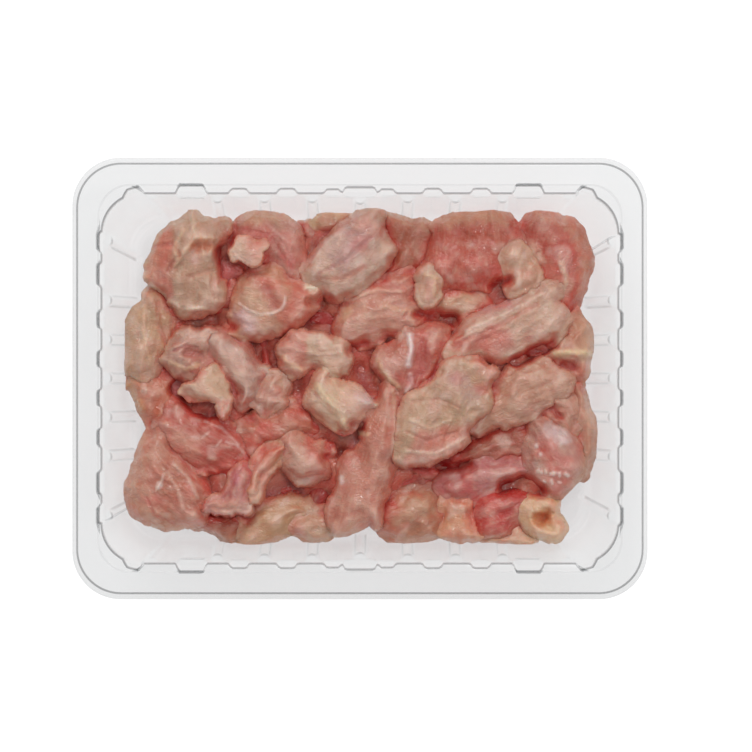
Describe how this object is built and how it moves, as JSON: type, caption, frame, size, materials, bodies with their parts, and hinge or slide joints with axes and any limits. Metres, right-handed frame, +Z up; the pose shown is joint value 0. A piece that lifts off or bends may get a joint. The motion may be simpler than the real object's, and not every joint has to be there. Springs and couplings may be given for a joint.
{
  "type": "meat tray pack",
  "caption": "Open rectangular clear plastic food tray with a flat sealing flange and ribbed walls, filled with folded pieces of raw skinless chicken meat.",
  "frame": {"origin": "centre of the tray's underside", "axes": "+X along the tray's long side, +Y along its short side, +Z up"},
  "size_m": [0.19, 0.146, 0.045],
  "materials": {
    "meat_beaded_round": "moist raw chicken meat, slightly glossy",
    "meat_big_flat_centre": "moist raw chicken meat, slightly glossy",
    "meat_big_pale_top": "moist raw chicken meat, slightly glossy",
    "meat_big_red_top": "moist raw chicken meat, slightly glossy",
    "meat_bottom_brown": "moist raw chicken meat, slightly glossy",
    "meat_bottom_flap": "moist raw chicken meat, slightly glossy",
    "meat_bottom_round": "moist raw chicken meat, slightly glossy",
    "meat_bottom_tan_strip": "moist raw chicken meat, slightly glossy",
    "meat_brown_low": "moist raw chicken meat, slightly glossy",
    "meat_centre_pale": "moist raw chicken meat, slightly glossy",
    "meat_corner_round": "moist raw chicken meat, slightly glossy",
    "meat_cream_fat": "moist raw chicken meat, slightly glossy",
    "meat_cream_side": "moist raw chicken meat, slightly glossy",
    "meat_cream_wedge": "moist raw chicken meat, slightly glossy",
    "meat_curl": "moist raw chicken meat, slightly glossy",
    "meat_curled_left": "moist raw chicken meat, slightly glossy",
    "meat_dark_left": "moist raw chicken meat, slightly glossy",
    "meat_dome_left": "moist raw chicken meat, slightly glossy",
    "meat_dome_top": "moist raw chicken meat, slightly glossy",
    "meat_dull_brown": "moist raw chicken meat, slightly glossy",
    "meat_fibrous_mid": "moist raw chicken meat, slightly glossy",
    "meat_fold_top_left": "moist raw chicken meat, slightly glossy",
    "meat_grey_pink_low": "moist raw chicken meat, slightly glossy",
    "meat_hook": "moist raw chicken meat, slightly glossy",
    "meat_left_long": "moist raw chicken meat, slightly glossy",
    "meat_left_orange": "moist raw chicken meat, slightly glossy",
    "meat_long_pale_right": "moist raw chicken meat, slightly glossy",
    "meat_long_strip": "moist raw chicken meat, slightly glossy",
    "meat_low_pink_top": "moist raw chicken meat, slightly glossy",
    "meat_low_strip": "moist raw chicken meat, slightly glossy",
    "meat_lower_layer": "moist raw chicken meat, slightly glossy",
    "meat_mid_top_twin": "moist raw chicken meat, slightly glossy",
    "meat_orange_strip": "moist raw chicken meat, slightly glossy",
    "meat_pink_right": "moist raw chicken meat, slightly glossy",
    "meat_pink_strip": "moist raw chicken meat, slightly glossy",
    "meat_purple_flap": "moist raw chicken meat, slightly glossy",
    "meat_purple_low": "moist raw chicken meat, slightly glossy",
    "meat_purple_mid": "moist raw chicken meat, slightly glossy",
    "meat_red_behind_top": "moist raw chicken meat, slightly glossy",
    "meat_red_low": "moist raw chicken meat, slightly glossy",
    "meat_red_mid": "moist raw chicken meat, slightly glossy",
    "meat_red_muscle": "moist raw chicken meat, slightly glossy",
    "meat_right_edge_long": "moist raw chicken meat, slightly glossy",
    "meat_right_folds": "moist raw chicken meat, slightly glossy",
    "meat_right_mid_pale": "moist raw chicken meat, slightly glossy",
    "meat_right_strip_lump": "moist raw chicken meat, slightly glossy",
    "meat_right_top_red": "moist raw chicken meat, slightly glossy",
    "meat_small_knob": "moist raw chicken meat, slightly glossy",
    "meat_small_tan": "moist raw chicken meat, slightly glossy",
    "meat_spiky_red": "moist raw chicken meat, slightly glossy",
    "meat_star_flap": "moist raw chicken meat, slightly glossy",
    "meat_star_left": "moist raw chicken meat, slightly glossy",
    "meat_strip_foot": "moist raw chicken meat, slightly glossy",
    "meat_tan_block": "moist raw chicken meat, slightly glossy",
    "meat_tan_shoulder": "moist raw chicken meat, slightly glossy",
    "meat_tendon_fold": "moist raw chicken meat, slightly glossy",
    "meat_top_yellow": "moist raw chicken meat, slightly glossy",
    "clear_plastic": "clear glossy thermoformed sheet",
    "meat_under_centre": "moist raw chicken meat, slightly glossy",
    "meat_white_tendon": "moist raw chicken meat, slightly glossy"
  },
  "bodies": {
    "root": {"beaded_round": "meat_beaded_round", "big_flat_centre": "meat_big_flat_centre", "big_pale_top": "meat_big_pale_top", "big_red_top": "meat_big_red_top", "bottom_brown": "meat_bottom_brown", "bottom_flap": "meat_bottom_flap", "bottom_round": "meat_bottom_round", "bottom_tan_strip": "meat_bottom_tan_strip", "brown_low": "meat_brown_low", "centre_pale": "meat_centre_pale", "corner_round": "meat_corner_round", "cream_fat": "meat_cream_fat", "cream_side": "meat_cream_side", "cream_wedge": "meat_cream_wedge", "curl": "meat_curl", "curled_left": "meat_curled_left", "dark_left": "meat_dark_left", "dome_left": "meat_dome_left", "dome_top": "meat_dome_top", "dull_brown": "meat_dull_brown", "fibrous_mid": "meat_fibrous_mid", "fold_top_left": "meat_fold_top_left", "grey_pink_low": "meat_grey_pink_low", "hook": "meat_hook", "left_long": "meat_left_long", "left_orange": "meat_left_orange", "long_pale_right": "meat_long_pale_right", "long_strip": "meat_long_strip", "low_pink_top": "meat_low_pink_top", "low_strip": "meat_low_strip", "lower_layer": "meat_lower_layer", "mid_top_twin": "meat_mid_top_twin", "orange_strip": "meat_orange_strip", "pink_right": "meat_pink_right", "pink_strip": "meat_pink_strip", "purple_flap": "meat_purple_flap", "purple_low": "meat_purple_low", "purple_mid": "meat_purple_mid", "red_behind_top": "meat_red_behind_top", "red_low": "meat_red_low", "red_mid": "meat_red_mid", "red_muscle": "meat_red_muscle", "right_edge_long": "meat_right_edge_long", "right_folds": "meat_right_folds", "right_mid_pale": "meat_right_mid_pale", "right_strip_lump": "meat_right_strip_lump", "right_top_red": "meat_right_top_red", "small_knob": "meat_small_knob", "small_tan": "meat_small_tan", "spiky_red": "meat_spiky_red", "star_flap": "meat_star_flap", "star_left": "meat_star_left", "strip_foot": "meat_strip_foot", "tan_block": "meat_tan_block", "tan_shoulder": "meat_tan_shoulder", "tendon_fold": "meat_tendon_fold", "top_yellow": "meat_top_yellow", "tray": "clear_plastic", "under_centre": "meat_under_centre", "white_tendon": "meat_white_tendon"}
  },
  "joints": []
}
